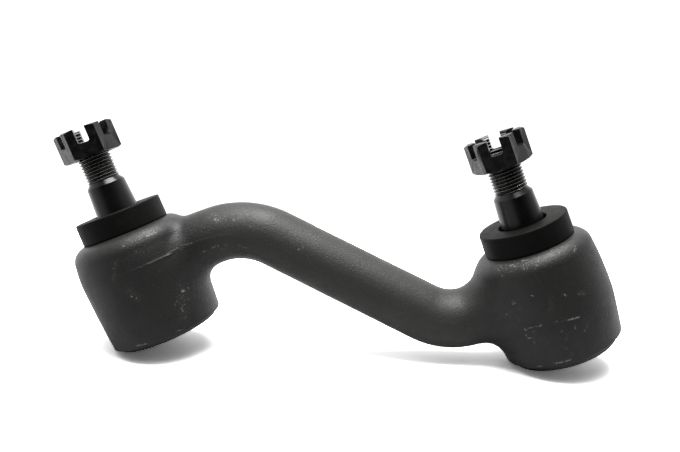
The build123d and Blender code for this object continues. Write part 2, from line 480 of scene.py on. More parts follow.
def ink(red: int, green: int, blue: int) -> Colour:
    """Turns a display colour from 0 to 255 into the shader's linear colour.

    Args:
        red: Share of red.
        green: Share of green.
        blue: Share of blue.

    Returns:
        The colour, which is opaque.
    """

    def line(value: int) -> float:
        """Undoes the display curve of one channel."""
        share = value / 255
        return share / 12.92 if share <= 0.04045 else ((share + 0.055) / 1.055) ** 2.4

    return (line(red), line(green), line(blue), 1.0)


@dataclass
class Look:
    """What a material's nodes give at a place in metres. The grain's height is from 0 to 1."""

    place: Socket
    grain: Number
    colour: Socket
    rough: Number
    metal: Number | float


@dataclass(frozen=True)
class Finish:
    """A surface finish: base colour, gloss, and what makes it uneven.

    Scales are in spots a metre, edges are the levels of noise at which a spot begins and is
    full, and a gloss says how much rougher a patch or a grain's top is. The patch is a second
    colour. The grain's height is in millimetres.
    """

    name: str
    colour: Colour
    patch: Colour
    roughness: float
    metallic: float = 0.0
    specular: float = 0.5
    patch_scale: float = 120.0
    patch_edges: Pair = (0.38, 0.66)
    patch_gloss: float = 0.08
    grain_scale: float = 1300.0
    fine_scale: float = 3600.0
    fine_share: float = 0.4
    grain_height: float = 0.03
    grain_gloss: float = 0.12

    def material(self) -> Material:
        """Builds the material.

        Returns:
            The material, which reads the place on the piece.
        """
        material = bpy.data.materials.new(self.name)
        material.use_nodes = True
        sheet = NodeSheet(material.node_tree)
        place = sheet.place()
        patches = sheet.noise(place, self.patch_scale, 4.0, 0.6).step(*self.patch_edges)
        coarse = sheet.noise(place, self.grain_scale, 3.0, 0.6)
        fine = sheet.noise(place, self.fine_scale)
        grain = coarse * (1 - self.fine_share) + fine * self.fine_share
        rough = self.roughness + (patches - 0.5) * self.patch_gloss + (grain - 0.5) * self.grain_gloss
        colour = sheet.blend(patches, self.colour, self.patch)
        look = Look(place, grain, colour, rough, self.metallic)
        self.extras(sheet, look)
        relief = {"Strength": 1.0, "Distance": self.grain_height * MM, "Height": grain}
        sockets = {
            "Base Color": look.colour,
            "Roughness": look.rough,
            "Metallic": look.metal,
            "Specular IOR Level": self.specular,
            "Normal": sheet.add("ShaderNodeBump", {}, relief).outputs[0],
        }
        shader = sheet.add("ShaderNodeBsdfPrincipled", {}, sockets)
        sheet.add("ShaderNodeOutputMaterial", {}, {"Surface": shader.outputs[0]})
        return material

    def extras(self, sheet: NodeSheet, look: Look) -> None:
        """Adds to the look what one finish has beyond the others, here nothing."""


@dataclass(frozen=True)
class WearOrPaintedGlint:
    """A worn patch, a scratch or a painted highlight, along a line between two places on the surface."""

    start: Point
    stop: Point
    width: float
    depth: float


@dataclass(frozen=True)
class CoatFinish(Finish):
    """A dark coat on forged steel, with flecks, worn bright in places, painted highlights by the rims, and
    made paler on the bar by painted light.

    Attributes:
        bright: Colour of worn metal, also used for the painted highlights and the painted light on the bar,
            of which each share tells how much shows.
        wear_and_painted_glints: The worn places, and the painted highlights by the rims, in millimetres.
        outwards: Direction of the surface at the middle of each mark.
        reach: How much less a mark fades away from the surface than along it.
        drift: How far a mark's edge wanders, in millimetres.
        fleck_gain: How much a mark adds to the noise of the flecks.
        fleck_gloss: How much smoother a fleck is.
        painted_light_span: Where the coat turns paler along the bar and back, in millimetres; this is
            painted light, standing in for the brighter light on the bar.
    """

    bright: Colour = (0.3, 0.3, 0.28, 1.0)
    wear_and_painted_glints: tuple[WearOrPaintedGlint, ...] = ()
    outwards: tuple[Point, ...] = ()
    reach: float = 0.8
    wander_scale: float = 420.0
    drift: float = 1.2
    dull_scale: float = 70.0
    dull_edges: Pair = (0.5, 0.75)
    dull_share: float = 0.2
    fleck_scale: float = 1500.0
    fleck_edges: Pair = (0.66, 0.82)
    fleck_gain: float = 0.15
    fleck_share: float = 0.75
    fleck_gloss: float = 0.1
    haze_share: float = 0.04
    grain_share: float = 0.08
    # Painted light: the bar's coat is made paler, standing in for the brighter light the bar gets.
    painted_light_span: tuple[float, float, float, float] = (26.0, 50.0, 116.0, 140.0)
    painted_light_share: float = 0.085

    def wear_or_painted_glint_strength(self, sheet: NodeSheet, place: Socket, mark: WearOrPaintedGlint, out: Point) -> Number:
        """Gives how strongly one worn place or painted highlight shows, from 0 to its depth.

        Args:
            sheet: The material's nodes.
            place: Place on the piece in metres.
            mark: The worn place or painted highlight, in millimetres.
            out: Direction of the surface there.

        Returns:
            How much of the mark shows.
        """
        start = Vector(mark.start) * MM
        along = Vector(mark.stop) * MM - start
        offset = sheet.vector("SUBTRACT", place, tuple(start))
        share = sheet.dot(offset, tuple(along / along.length_squared)).at_least(0.0).at_most(1.0)
        spoke = sheet.vector("SUBTRACT", offset, sheet.scaled(tuple(along), share))
        lift = sheet.dot(spoke, out) * self.reach
        flat = sheet.vector("SUBTRACT", spoke, sheet.scaled(out, lift))
        near = 1 - sheet.length(flat).step(0.0, mark.width * MM)
        return near * mark.depth

    def extras(self, sheet: NodeSheet, look: Look) -> None:
        """Adds the flecks, the worn places, the painted highlights by the rims, and the painted light that
        makes the bar paler.

        Args:
            sheet: The material's nodes.
            look: What the nodes give so far, which is changed.
        """
        place = look.place
        wander = sheet.add(
            "ShaderNodeTexNoise", {}, {"Vector": place, "Scale": self.wander_scale, "Detail": 2.0}
        )
        shift = sheet.vector("SUBTRACT", wander.outputs[1], (0.5,) * 3)
        ragged = sheet.vector("ADD", place, sheet.vector("MULTIPLY", shift, (self.drift * MM,) * 3))
        worn = sheet.noise(place, self.dull_scale, 3.0, 0.6).step(*self.dull_edges) * self.dull_share
        # Worn places, and the painted highlights along the rims' lower edges, both go into worn.
        for mark, out in zip(self.wear_and_painted_glints, self.outwards):
            worn = worn.at_least(self.wear_or_painted_glint_strength(sheet, ragged, mark, out))
        specks = sheet.noise(place, self.fleck_scale, 3.0, 0.65) + worn * self.fleck_gain
        bright_metal_and_painted_light = specks.step(*self.fleck_edges)
        # Painted light: the coat turns paler along the bar, standing in for the brighter light the bar gets;
        # worn places and grain add to it.
        along = sheet.dot(place, (1.0, 0.0, 0.0))
        start, full, fall, stop = (value * MM for value in self.painted_light_span)
        bar = along.step(start, full) * (1 - along.step(fall, stop))
        wear_grain_and_painted_light = worn.at_most(1.0) * self.haze_share + bar * self.painted_light_share
        wear_grain_and_painted_light = wear_grain_and_painted_light + (look.grain - 0.5) * self.grain_share
        share = (bright_metal_and_painted_light * self.fleck_share + wear_grain_and_painted_light).at_least(0.0).at_most(1.0)
        look.colour = sheet.blend(share, look.colour, self.bright)
        look.rough = look.rough - bright_metal_and_painted_light * self.fleck_gloss


@dataclass(frozen=True)
class ThreadFinish(Finish):
    """A dark finish with a bright band inside, or outside, a radius about both studs' axes. The band is
    painted light: a painted highlight on the studs' thread crests and painted light on the nuts' inner
    thread.

    Attributes:
        axes: Where the axes cross the X axis. This and what follows is in millimetres.
        blur: Half the width of the change at the radius.
        near: Radii between which an axis stops counting.
        floors: Heights at which the bright band begins, one for each axis.
        fade: How high above them it is full.
        share: How much of the bright band shows.
        metal: How much of what shows is metallic.
        sills: Heights of the slots' floors, one for each axis, which are dull.
        sill_span: Heights over a floor at which the dullness begins, is full, fades and ends.
    """

    bright: Colour = (0.3, 0.3, 0.28, 1.0)
    axes: tuple[float, ...] = (0.0, 162.5)
    radius: float = 8.0
    blur: float = 0.06
    near: Pair = (30.0, 31.0)
    inside: bool = True
    floors: tuple[float, ...] = ()
    fade: float = 0.6
    share: float = 1.0
    metal: float = 0.0
    bare_gloss: float = 0.08
    sills: tuple[float, ...] = ()
    sill_radii: Pair = (11.0, 11.1)
    sill_span: tuple[float, float, float, float] = (-0.4, -0.1, 0.1, 0.7)
    sill_gloss: float = 0.6

    def extras(self, sheet: NodeSheet, look: Look) -> None:
        """Adds the bright band, which is painted light, and the dull slot floors.

        Args:
            sheet: The material's nodes.
            look: What the nodes give so far, which is changed.
        """

        def about(x: float, height: float) -> tuple[Number, Number]:
            """Returns the distance from an axis and above a height, in millimetres.

            Args:
                x: Where the axis crosses the X axis.
                height: The height, in the row frame.

            Returns:
                Both distances.
            """
            offset = sheet.vector("SUBTRACT", look.place, (x * MM, 0.0, height * MM))
            offset = sheet.vector("MULTIPLY", offset, (1 / MM,) * 3)
            flat = sheet.vector("MULTIPLY", offset, (1.0, 1.0, 0.0))
            return sheet.length(flat), sheet.dot(offset, (0.0, 0.0, 1.0))

        # Painted light: the bright band on the studs' thread crests and on the nuts' inner thread stands in
        # for how the lamps light them.
        bright_metal_and_painted_light = look.grain * 0.0
        for x, low in zip(self.axes, self.floors):
            out, rise = about(x, low)
            beyond = out.step(self.radius - self.blur, self.radius + self.blur)
            side = (1 - beyond) if self.inside else beyond
            bright_metal_and_painted_light = bright_metal_and_painted_light.at_least(side * rise.step(0.0, self.fade) * (1 - out.step(*self.near)))
        bright_metal_and_painted_light = bright_metal_and_painted_light * self.share
        dull = look.grain * 0.0
        start, full, fall, stop = self.sill_span
        for x, sill in zip(self.axes, self.sills):
            out, rise = about(x, sill)
            level = rise.step(start, full) * (1 - rise.step(fall, stop))
            dull = dull.at_least(level * (1 - out.step(*self.sill_radii)))
        look.colour = sheet.blend(bright_metal_and_painted_light, look.colour, self.bright)
        look.rough = look.rough - bright_metal_and_painted_light * self.bare_gloss + dull * self.sill_gloss
        look.metal = bright_metal_and_painted_light * self.metal


@dataclass(frozen=True)
class End:
    """One end of the arm: where its boss is, its side's curve, and how its nut is turned."""

    name: str
    x: float
    top: float
    nut_angle: float
    part_depth: float
    head_draft: float
    skirt_curve: float
    blend_above: float
    blend_below: float
    shoulder: float
    rim_rise: float = 0.0
    part_radius: float = 26.4
    skirt_draft: float = 1.65

    @property
    def place(self) -> Matrix:
        """Moves the boss frame, whose origin is its flat top's centre, to the row frame."""
        return Matrix.Translation((self.x, 0, self.top))


ENDS = (
    End(
        name="pivot", x=0.0, top=-9.6, nut_angle=17.0, part_depth=16.0, head_draft=2.6,
        skirt_curve=1.5, blend_above=4.0, blend_below=10.5, shoulder=7.5,
    ),
    End(
        name="link", x=162.5, top=-73.7, nut_angle=-8.5, part_depth=28.0, head_draft=2.9,
        skirt_curve=1.2, blend_above=11.0, blend_below=10.0, shoulder=6.8, rim_rise=0.9,
    ),
)


WAVES = (
    (0.31, 0.17, 0.23, 0.4),
    (-0.21, 0.35, 0.12, 1.7),
    (0.12, -0.28, 0.37, 2.9),
    (0.55, 0.41, -0.33, 4.1),
    (-0.47, 0.22, 0.61, 5.3),
    (0.36, 0.66, 0.29, 0.9),
)


@dataclass(frozen=True)
class Forging:
    """The forged arm: two hollow bosses and the bent bar between them.

    Depths are below a boss's flat top. An ease is how much a corner is taken back, out and up.
    Spare is how far the blanks and the room reach beyond the surface.
    """

    voxel: float = 0.85
    blank_rings: int = 12
    blank_steps: int = 64
    rod_steps: int = 48
    blank_extra: float = 3.0
    bar_radius: float = 12.3
    bend_radii: Pair = (34.0, 26.0)
    bar_route: Outline = ((0.0, -25.1), (51.7, -25.1), (118.1, -96.0), (162.5, -96.0))
    bar_growth: Outline = ((50, 0.0), (130, 0.45))
    blend_span: float = 12.0
    blend_level: float = 0.4
    rim_depth: float = 47.0
    rim_radius: float = 24.75
    lip_depth: float = 48.6
    lip_step: float = 0.7
    lip_outer: float = 22.6
    lip_inner: float = 19.2
    lip_taper: float = 0.4
    lip_ease: float = 0.25
    rim_ease: Pair = (0.25, 0.15)
    step_ease: Pair = (0.35, 0.2)
    cut_lift: float = 0.5
    cut_reach: Pair = (35.0, 6.0)
    spare: float = 2.0
    seat_radius: float = 21.0
    seat_top: float = 43.05
    seat_bottom: float = 46.75
    bore_radius: float = 18.3
    roof: float = 6.0
    throat_radius: float = 11.8
    mouth_radius: float = 13.7
    mouth_flare: float = 0.8
    mouth_span: Pair = (0.3, -0.5)
    flash_height: float = 0.24
    flash_width: float = 0.45
    flash_share: Outline = ((-4, 0.2), (8, 1.0), (22, 1.3), (30, 1.0), (46, 0.5), (120, 0.5), (130, 0.2))
    fine_band: float = 1.7
    part_line: Outline = (
        (-40, -24.5), (8, -24.4), (18, -24.3), (23, -24.0), (30, -23.9), (36, -24.0),
        (46, -25.4), (66, -40), (108, -86), (128, -96.5), (150, -99), (200, -102),
    )
    unevenness: float = 0.05
    draws: int = 4
    longest_draw: float = 1.5
    least_slope: float = 0.2
    slope_step: float = 0.02

    def wall_radius(self, end: End, depth: Rows) -> Rows:
        """Radius of a boss's side at a depth below its flat top.

        Args:
            end: Which end of the arm.
            depth: Depths below the flat top.

        Returns:
            One radius for each depth.
        """
        above = np.clip((end.part_depth - depth) / end.part_depth, 0, 1)
        below = np.clip((depth - end.part_depth) / (self.rim_depth - end.part_depth), 0, None)
        return end.part_radius - end.head_draft * above**2 - end.skirt_draft * below**end.skirt_curve

    def boss_gap(self, end: End, points: Rows) -> Rows:
        """Signed distance of points from a boss's outside.

        Args:
            end: Which end of the arm.
            points: One row of x, y and z for each, in millimetres.

        Returns:
            One distance for each point, below zero inside.
        """
        out = np.hypot(points[:, 0] - end.x, points[:, 1])
        height = points[:, 2] - end.top
        wall = self.wall_radius(end, np.maximum(-height, end.shoulder))
        side = np.maximum(out - wall + end.shoulder, 0)
        rise = np.maximum(height + end.shoulder, 0)
        return np.hypot(side, rise) - end.shoulder

    def bar_gap(self, points: Rows) -> Rows:
        """Signed distance of points from the bar's outside.

        Args:
            points: One row of x, y and z for each, in millimetres.

        Returns:
            One distance for each point, below zero inside.
        """
        flat = points[:, [0, 2]]
        near = np.full(len(points), np.inf)
        route = [np.array(corner) for corner in self.bar_route]
        stops = [route[0]]
        for before, corner, after, bend in zip(route, route[1:], route[2:], self.bend_radii):
            into = (corner - before) / np.linalg.norm(corner - before)
            out = (after - corner) / np.linalg.norm(after - corner)
            turn = math.acos(float(into @ out))
            reach = bend * math.tan(turn / 2)
            bisector = (out - into) / np.linalg.norm(out - into)
            centre = corner + bisector * bend / math.cos(turn / 2)
            spoke = flat - centre
            length = np.linalg.norm(spoke, axis=1)
            facing = -(spoke @ bisector) / np.maximum(length, 1e-9)
            inside = facing > math.cos(turn / 2)
            near = np.where(inside, np.minimum(near, np.abs(length - bend)), near)
            stops += [corner - into * reach, corner + out * reach]
        stops.append(route[-1])
        for start, stop in zip(stops[::2], stops[1::2]):
            along = stop - start
            share = np.clip((flat - start) @ along / (along @ along), 0, 1)
            near = np.minimum(near, np.linalg.norm(flat - start - share[:, None] * along, axis=1))
        radius = self.bar_radius + read_off(self.bar_growth, points[:, 0])
        return np.hypot(near, points[:, 1]) - radius

    def flash(self, points: Rows) -> Rows:
        """Height of the dies' parting line, a ridge dressed down except by the pivot's boss."""
        off_line = (points[:, 2] - read_off(self.part_line, points[:, 0])) / self.flash_width
        return self.flash_height * read_off(self.flash_share, points[:, 0]) * np.exp(-(off_line**2))

    def waves(self, points: Rows) -> Rows:
        """Slow unevenness of a forged face, from -1 to 1."""
        return np.mean([np.sin(points @ np.array(way) + phase) for *way, phase in WAVES], axis=0)

    def gap(self, points: Rows) -> Rows:
        """Signed distance of points from the blended forging's outside.

        Args:
            points: One row of x, y and z for each, in millimetres.

        Returns:
            One distance for each point, below zero inside.
        """
        bar = self.bar_gap(points)
        near = np.full(len(points), np.inf)
        above = (points[:, 2] - read_off(self.bar_route, points[:, 0])) / self.blend_span
        above = np.clip(above + self.blend_level, 0, 1)
        for end in ENDS:
            boss = self.boss_gap(end, points)
            soft = end.blend_below + (end.blend_above - end.blend_below) * above
            share = np.maximum(soft - np.abs(boss - bar), 0) / soft
            near = np.minimum(near, np.minimum(boss, bar) - share**2 * soft / 4)
        return near - self.flash(points) - self.unevenness * self.waves(points)

    def slope(self, points: Rows) -> Rows:
        """Slope of the signed distance at some points, which points outwards.

        Args:
            points: One row of x, y and z for each, in millimetres.

        Returns:
            One row of x, y and z for each point.
        """
        slope = np.empty_like(points)
        for axis, shift in enumerate(np.eye(3) * self.slope_step):
            rise = self.gap(points + shift) - self.gap(points - shift)
            slope[:, axis] = rise / (2 * self.slope_step)
        return slope

    def settled(self, points: Rows) -> Rows:
        """Draws points onto the forging's outside.

        Args:
            points: One row of x, y and z for each, in millimetres.

        Returns:
            The points' rows after their moves.
        """
        for _ in range(self.draws):
            slope = self.slope(points)
            size = np.maximum((slope**2).sum(1), self.least_slope)
            draw = np.clip(self.gap(points) / size, -self.longest_draw, self.longest_draw)
            points = points - draw[:, None] * slope
        return points

    def rough_shape(self) -> Stock:
        """Overlaps plain solids of both bosses and the bar.

        Returns:
            The solids, one through the other.
        """
        stock = Stock()
        for end in ENDS:
            depths = np.linspace(end.shoulder, self.rim_depth + self.blank_extra, self.blank_rings)
            wall = [(float(r), -float(d)) for r, d in zip(self.wall_radius(end, depths), depths)]
            top = [(0, 0), (wall[0][0] - end.shoulder, 0), (wall[0][0] - self.spare, -self.spare)]
            blank = Stock.turned([*top, *wall, (0, wall[-1][1])], self.blank_steps)
            stock.add(blank.move(end.place))
        route = [Vector((x, 0, z)) for x, z in self.bar_route]
        for start, stop in zip(route, route[1:]):
            along = stop - start
            side = [(self.bar_radius, 0), (self.bar_radius, along.length)]
            rod = Stock.turned([(0, 0), *side, (0, along.length)], self.rod_steps)
            turn = along.to_track_quat("Z", "Y").to_matrix().to_4x4()
            stock.add(rod.move(Matrix.Translation(start) @ turn))
            ball = Stock()
            bmesh.ops.create_icosphere(ball.mesh, subdivisions=3, radius=self.bar_radius)
            stock.add(ball.move(Matrix.Translation(stop)))
        return stock

    def room(self) -> Stock:
        """The space inside a boss, open at the mouth and at the lip.

        Returns:
            The space as a solid, in the boss frame.
        """
        lip, below = self.lip_inner + self.lip_taper, self.lip_depth + self.spare
        flared, (high, low) = self.mouth_radius + self.mouth_flare, self.mouth_span
        points = [(0, self.spare), (flared, self.spare), (flared, high), (self.mouth_radius, low)]
        points += [(self.throat_radius, -self.roof), (self.bore_radius, -self.roof)]
        points += [(self.bore_radius, -self.seat_top), (self.seat_radius, -self.seat_top)]
        points += [(self.seat_radius, -self.seat_bottom), (self.lip_inner, -self.seat_bottom)]
        return Stock.turned([*points, (lip, -self.lip_depth), (lip, -below), (0, -below)])

    def lip(self, stock: Stock, end: End) -> None:
        """Cuts a boss flat below and draws its rim and crimped lip from the cut.

        Args:
            stock: The skin of the forging, which is changed.
            end: Which end of the arm.
        """
        rim_depth = self.rim_depth - end.rim_rise
        cut = end.top - rim_depth + self.cut_lift
        wide, high = self.cut_reach
        middles = ((face, face.calc_center_median()) for face in stock.mesh.faces)
        near = [face for face, place in middles if abs(place.x - end.x) < wide and place.z < cut + high]
        stock.trim(near, (end.x, 0, cut), (0, 0, -1))
        rims = [edge for edge in stock.mesh.edges if edge.is_boundary]
        step, foot = rim_depth + self.lip_step, self.lip_outer - self.lip_taper
        (ease, rise), (flare, climb) = self.rim_ease, self.step_ease
        rings = [(self.rim_radius - ease, rim_depth - rise), (self.rim_radius - 2 * ease, rim_depth)]
        rings += [(self.lip_outer + flare, step - climb), (self.lip_outer, step)]
        rings += [(foot, self.lip_depth - self.lip_ease), (foot - self.lip_ease, self.lip_depth)]
        rings.append((self.lip_inner - self.spare, self.lip_depth))
        for radius, depth in rings:
            grown = bmesh.ops.extrude_edge_only(stock.mesh, edges=rims)["geom"]
            rims = [item for item in grown if isinstance(item, bmesh.types.BMEdge) and item.is_boundary]
            for vert in {vert for edge in rims for vert in edge.verts}:
                out = Vector((vert.co.x - end.x, vert.co.y)).normalized() * radius
                vert.co = (end.x + out.x, out.y, end.top - depth)
        bmesh.ops.holes_fill(stock.mesh, edges=rims, sides=0)

    def build(self, material: Material) -> Thing:
        """Builds the forging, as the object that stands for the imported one.

        Args:
            material: Its finish.

        Returns:
            The object, at the origin.
        """
        stock = self.rough_shape().skinned(self.voxel)
        points = stock.points()
        line = np.abs(points[:, 2] - read_off(self.part_line, points[:, 0])) < self.fine_band
        stock.mesh.verts.ensure_lookup_table()
        edges = [e for e in stock.mesh.edges if line[e.verts[0].index] and line[e.verts[1].index]]
        bmesh.ops.subdivide_edges(stock.mesh, edges=edges, cuts=1, use_grid_fill=True)
        bmesh.ops.triangulate(stock.mesh, faces=[f for f in stock.mesh.faces if len(f.verts) > 4])
        stock.mesh.verts.index_update()
        stock.place(self.settled(stock.points()))
        for end in ENDS:
            self.lip(stock, end)
        bmesh.ops.recalc_face_normals(stock.mesh, faces=stock.mesh.faces[:])
        for end in ENDS:
            stock = stock.combine(self.room().move(end.place), Cut.DIFFERENCE)
        return stock.finish("forged_arm", material)


@dataclass(frozen=True)
class Thread:
    """A 60 degree screw thread, 18 turns to the inch, with a flat on its crest."""

    crest: float
    root: float
    pitch: float = 25.4 / 18
    land_share: float = 0.17
    crest_ease: float = 0.088
    root_ease: float = 0.04
    land_ease: float = 0.1
    valley_ease: float = 0.05

    def turn(self) -> Outline:
        """Outline of one turn from crest to crest, with eased corners.

        Returns:
            The (radius, rise) points of one turn.
        """
        inwards = math.copysign(1, self.crest - self.root)
        worn = self.crest - self.crest_ease * inwards
        near_root = self.root + self.root_ease * inwards
        flank = abs(self.crest - self.root) * math.tan(math.radians(30))
        land = self.pitch * self.land_share
        valley, climb = land + flank, self.pitch - flank
        side, ease = self.land_ease, self.valley_ease
        crest = [(worn, 0.0), (self.crest, side), (self.crest, land - side), (worn, land)]
        root = [(near_root, valley - ease), (self.root, valley + ease)]
        return [*crest, *root, (self.root, climb - ease), (near_root, climb + ease)]


@dataclass(frozen=True)
class BallStud:
    """Ball stud: half-ball head, journal, taper, neck, and the thread for the nut.

    Corners are the eased corners of the taper and the neck, from below.
    """

    ball_radius: float = 13.96
    ball_depth: float = 20.5
    ball_flat: float = 13.0
    journal_radius: float = 7.5
    journal_top: float = 0.9
    ball_gap: float = 0.05
    ball_steps: int = 12
    corners: Outline = (
        (9.294, 3.45), (9.394, 3.7), (8.27, 21.75), (8.15, 22.02), (6.83, 23.6), (6.75, 23.8)
    )
    neck_radius: float = 6.75
    neck_ease: float = 0.1
    thread_low: float = 23.5
    stud_top: float = 39.3
    thread_radius: float = 7.14
    thread_root: float = 6.32
    tip_chamfer: float = 1.1
    run_out: float = 0.9
    hole_radius: float = 1.8
    hole_below_top: float = 3.6
    hole_turn: float = 30.0
    hole_reach: float = 15.0
    hole_steps: int = 32
    crease: float = 20.0

    def shank(self) -> Stock:
        """Turns everything below the thread.

        Returns:
            The solid, in the boss frame.
        """
        foot = -self.ball_depth - self.ball_flat
        start = math.acos(self.ball_flat / self.ball_radius) - math.pi / 2
        stop = -self.ball_gap / self.ball_radius
        ball = arc((0, -self.ball_depth), self.ball_radius, start, stop, self.ball_steps)
        points = [(0.0, foot), (math.sqrt(self.ball_radius**2 - self.ball_flat**2), foot), *ball]
        points += [(self.journal_radius, ball[-1][1]), (self.journal_radius, self.journal_top)]
        end = self.thread_low + self.run_out
        return Stock.turned([*points, *self.corners, (self.neck_radius, end), (0.0, end)], FINE_STEPS)

    def screw(self) -> Stock:
        """Winds the thread, which fades into the neck and ends in a chamfer.

        Returns:
            The solid, in the boss frame.
        """
        thread = Thread(self.thread_radius, self.thread_root)
        stock = Stock.screw(thread.turn(), thread.pitch, self.thread_low - 1.0, self.stud_top)
        for vert in stock.mesh.verts:
            radius = math.hypot(vert.co.x, vert.co.y)
            if radius < 1:
                continue
            fade = min(max((vert.co.z - self.thread_low) / self.run_out, 0), 1)
            wanted = (self.neck_radius - self.neck_ease) * (1 - fade) + radius * fade
            wanted = min(wanted, self.thread_radius - self.tip_chamfer + self.stud_top - vert.co.z)
            vert.co.x *= wanted / radius
            vert.co.y *= wanted / radius
        return stock

    def build(self, end: End, material: Material) -> Thing:
        """Builds one end's stud.

        Args:
            end: Which end of the arm.
            material: Its finish.

        Returns:
            The object, at the origin.
        """
        stock = self.shank().combine(self.screw(), Cut.UNION)
        far, wide = self.hole_reach, self.hole_radius
        drill = Stock.turned([(0, -far), (wide, -far), (wide, far), (0, far)], self.hole_steps)
        turn = Matrix.Rotation(math.radians(end.nut_angle + self.hole_turn), 4, "Z")
        lie = Matrix.Rotation(math.pi / 2, 4, "Y")
        lift = Matrix.Translation((0, 0, self.stud_top - self.hole_below_top))
        stock = stock.combine(drill.move(lift @ turn @ lie), Cut.DIFFERENCE)
        return stock.move(end.place).finish(f"{end.name}_threaded_stud", material, self.crease)


@dataclass(frozen=True)
class CastleNut:
    """Slotted hexagon nut, 22.2 mm across flats."""

    across_flats: float = 22.22
    height: float = 12.7
    bottom: float = 34.9
    corner_chamfer: float = 1.3
    corner_clear: float = 0.01
    slot_width: float = 5.0
    slot_depth: float = 6.5
    slot_corner: float = 0.9
    slot_length: float = 40.0
    slot_rise: float = 2.0
    slot_angles: tuple[float, ...] = (30.0, 90.0, 150.0)
    bore_radius: float = 7.22
    thread_depth: float = 0.72
    sink_extra: float = 0.5
    sink_reach: float = 1.5
    edge: float = 0.22
    edge_angle: float = 25.0
    crease: float = 14.0

    def blank(self) -> Stock:
        """Turns the chamfered hexagon.

        Returns:
            The solid, which stands on the XY plane.
        """
        corner = self.across_flats / 2 / math.cos(math.radians(30))
        hexagon = Stock.turned([(0, 0), (corner, 0), (corner, self.height), (0, self.height)], 6)
        rim = corner - self.corner_chamfer
        rise = self.corner_chamfer * 0.5
        wide, low, high = corner + self.corner_clear, -HAIR, self.height + HAIR
        side = [(rim, low), (wide, rise), (wide, self.height - rise), (rim, high)]
        return hexagon.combine(Stock.turned([(0, low), *side, (0, high)], FINE_STEPS), Cut.INTERSECT)

    def slot(self, angle: float) -> Stock:
        """A slot's space, from wall to wall, with rounded floor corners.

        Args:
            angle: Which way the slot runs, in degrees.

        Returns:
            The space as a solid.
        """
        stock = Stock()
        floor = self.height - self.slot_depth
        tall = self.slot_depth + self.slot_rise
        lift = Matrix.Translation((0, 0, floor + tall / 2))
        size = Matrix.Diagonal((self.slot_length, self.slot_width, tall, 1))
        bmesh.ops.create_cube(stock.mesh, size=1.0, matrix=lift @ size)
        flat = [e for e in stock.mesh.edges if all(abs(v.co.z - floor) < HAIR for v in e.verts)]
        low = [e for e in flat if abs(e.verts[0].co.x - e.verts[1].co.x) > 1]
        stock.bevel(low, self.slot_corner, 4)
        return stock.move(Matrix.Rotation(math.radians(angle), 4, "Z"))

    def bore(self) -> Stock:
        """The bore's space: the thread's winding and a countersink at each end.

        Returns:
            The space as a solid.
        """
        thread = Thread(self.bore_radius, self.bore_radius + self.thread_depth)
        stock = Stock.screw(thread.turn(), thread.pitch, -1.0, self.height + 1)
        sink, beyond = self.thread_depth + self.sink_extra, self.sink_reach
        wide = self.bore_radius + sink + beyond
        for far, near in ((-beyond, sink), (self.height + beyond, self.height - sink)):
            cone = Stock.turned([(0, far), (wide, far), (self.bore_radius, near), (0, near)])
            stock = stock.combine(cone, Cut.UNION)
        return stock

    def build(self, end: End, material: Material) -> Thing:
        """Builds one end's nut.

        Args:
            end: Which end of the arm.
            material: Its finish.

        Returns:
            The object, at the origin.
        """
        stock = self.blank()
        for angle in self.slot_angles:
            stock = stock.combine(self.slot(angle), Cut.DIFFERENCE)
        bmesh.ops.dissolve_limit(
            stock.mesh, angle_limit=math.radians(1), verts=stock.mesh.verts[:], edges=stock.mesh.edges[:]
        )
        stock.bevel(stock.sharp_edges(self.edge_angle), self.edge, 2)
        bmesh.ops.triangulate(stock.mesh, faces=stock.mesh.faces[:])
        stock = stock.combine(self.bore(), Cut.DIFFERENCE)
        turn = Matrix.Rotation(math.radians(end.nut_angle), 4, "Z")
        stock.move(end.place @ Matrix.Translation((0, 0, self.bottom)) @ turn)
        return stock.finish(f"{end.name}_castle_nut", material, self.crease)


@dataclass(frozen=True)
class DustSeal:
    """Flat rubber seal that grips the stud above and stays on the boss below."""

    radius: float = 18.95
    height: float = 9.6
    base: float = 0.05
    draft: float = 0.15
    edge: float = 0.5
    bore: float = 10.3
    bore_ease: float = 0.3
    grip_low: float = 6.4
    grip_full: float = 6.6
    skirt_bore: float = 14.5
    skirt_top: float = 1.4
    rings: int = 24
    skirt_rings: int = 8

    def build(self, end: End, material: Material) -> Thing:
        """Builds one end's seal, with rings of points all the way up.

        Args:
            end: Which end of the arm.
            material: Its finish.

        Returns:
            The object, at the origin.
        """
        quarter = math.pi / 2
        rise, fall = self.height - 2 * self.edge, self.grip_low - self.skirt_top
        low = (self.radius - self.edge, self.base + self.edge)
        high = (low[0] - self.draft, self.height - self.edge)
        points = [(self.skirt_bore, self.base), (low[0], self.base), *arc(low, self.edge, -quarter, 0, 3)]
        for share in (i / self.rings for i in range(1, self.rings)):
            points.append((self.radius - self.draft * share, self.edge + rise * share))
        points += [(high[0] + self.edge, high[1]), *arc(high, self.edge, 0, quarter, 3)]
        ease = self.bore_ease
        points += [(self.bore + ease, self.height), (self.bore, self.height - ease)]
        for share in (i / self.skirt_rings for i in range(self.skirt_rings + 1)):
            radius = self.bore + (self.skirt_bore - self.bore) * share
            points.append((radius, self.grip_low - fall * share))
        stock = Stock.turned([*points, (self.skirt_bore, self.base)], FINE_STEPS)
        return stock.move(end.place).finish(f"{end.name}_dust_seal", material)


@dataclass(frozen=True)
class Lamp:
    """A soft box: where it stands, its size and its power."""

    name: str
    place: Point
    width: float
    height: float
    watts: float


